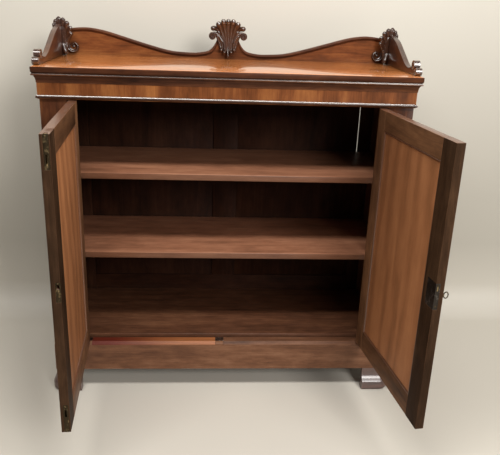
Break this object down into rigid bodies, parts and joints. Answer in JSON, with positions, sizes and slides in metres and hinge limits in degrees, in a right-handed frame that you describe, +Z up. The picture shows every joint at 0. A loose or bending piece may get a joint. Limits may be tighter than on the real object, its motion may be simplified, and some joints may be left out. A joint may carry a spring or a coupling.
{
  "type": "chiffonier",
  "caption": "Low cupboard with framed doors that open on shelves, standing on a plinth and shaped feet, with a carved gallery round its moulded top.",
  "frame": {"origin": "on the floor, at the middle of the bounding box with the doors standing open", "axes": "+X to the right seen from the front, +Y to the back of the cupboard, +Z up"},
  "size_m": [1.125, 0.8504, 1.163],
  "materials": {
    "mahogany": "aged polish, satin",
    "polished_mahogany": "french polish, glossy",
    "carved_mahogany": "dark polish, worn on the high points",
    "door_mahogany": "dark aged polish, satin",
    "panel_mahogany": "thin old finish, satin",
    "brass": "tarnished",
    "iron": "dull, worn bright on the edges"
  },
  "bodies": {
    "carcass": {"side_board_left": "mahogany", "side_board_right": "mahogany", "front_stile_left": "mahogany", "front_stile_right": "mahogany", "bottom_board": "mahogany", "shelf_lower": "mahogany", "shelf_upper": "mahogany", "back_stile_left": "mahogany", "back_stile_right": "mahogany", "back_bottom_rail": "mahogany", "back_top_rail": "mahogany", "back_muntin": "mahogany", "back_panel_left": "mahogany", "back_panel_right": "mahogany", "plinth_front": "mahogany", "plinth_left": "mahogany", "plinth_right": "mahogany", "gallery_back": "mahogany", "gallery_side_left": "mahogany", "gallery_side_right": "mahogany", "slab": "polished_mahogany", "frieze_front": "polished_mahogany", "cornice_front": "polished_mahogany", "frieze_return_left": "polished_mahogany", "frieze_return_right": "polished_mahogany", "crest": "carved_mahogany", "corner_leaf_left": "carved_mahogany", "corner_leaf_right": "carved_mahogany", "foot_front_left": "carved_mahogany", "foot_front_right": "carved_mahogany", "foot_back_left": "carved_mahogany", "foot_back_right": "carved_mahogany", "hinge_fixed_left_lower": "brass", "hinge_fixed_left_upper": "brass", "hinge_fixed_right_lower": "brass", "hinge_fixed_right_upper": "brass", "keeper_plate": "iron"},
    "left_door": {"left_door_hinge_stile": "door_mahogany", "left_door_meeting_stile": "door_mahogany", "left_door_top_rail": "door_mahogany", "left_door_bottom_rail": "door_mahogany", "left_door_panel": "panel_mahogany", "hinge_moving_left_lower": "brass", "hinge_moving_left_upper": "brass", "strike_plate": "brass", "flush_plate_upper": "brass", "flush_plate_lower": "brass"},
    "right_door": {"right_door_hinge_stile": "door_mahogany", "right_door_meeting_stile": "door_mahogany", "right_door_top_rail": "door_mahogany", "right_door_bottom_rail": "door_mahogany", "right_door_panel": "panel_mahogany", "hinge_moving_right_lower": "brass", "hinge_moving_right_upper": "brass", "lock_case": "iron", "escutcheon": "brass"},
    "key": {"key": "brass"},
    "lock_bolt": {"lock_bolt": "brass"},
    "flush_bolt_upper": {"flush_bolt_upper": "brass"},
    "flush_bolt_lower": {"flush_bolt_lower": "brass"}
  },
  "joints": [
    {"name": "left_door_hinge", "type": "hinge", "parent": "carcass", "child": "left_door", "pos_m": [-0.45825, 0.03224, 0.5605], "axis": [0, 0, 1], "range_deg": [-33.75, 86.25]},
    {"name": "right_door_hinge", "type": "hinge", "parent": "carcass", "child": "right_door", "pos_m": [0.45825, 0.03224, 0.5605], "axis": [0, 0, 1], "range_deg": [-97.5, 22.5]},
    {"name": "key_turn", "type": "hinge", "parent": "right_door", "child": "key", "pos_m": [0.50952, -0.39547, 0.553], "axis": [0.9914, 0.1305, 0], "range_deg": [0, 180]},
    {"name": "lock_bolt_slide", "type": "slide", "parent": "right_door", "child": "lock_bolt", "axis": [0.1305, -0.9914, 0], "range_m": [0, 0.008]},
    {"name": "flush_bolt_upper_slide", "type": "slide", "parent": "left_door", "child": "flush_bolt_upper", "axis": [0, 0, 1], "range_m": [0, 0.014]},
    {"name": "flush_bolt_lower_slide", "type": "slide", "parent": "left_door", "child": "flush_bolt_lower", "axis": [0, 0, -1], "range_m": [0, 0.014]}
  ],
  "couplings": [
    {"joint": "lock_bolt_slide", "follows": "key_turn", "m_per_rad": 0.0025464}
  ]
}
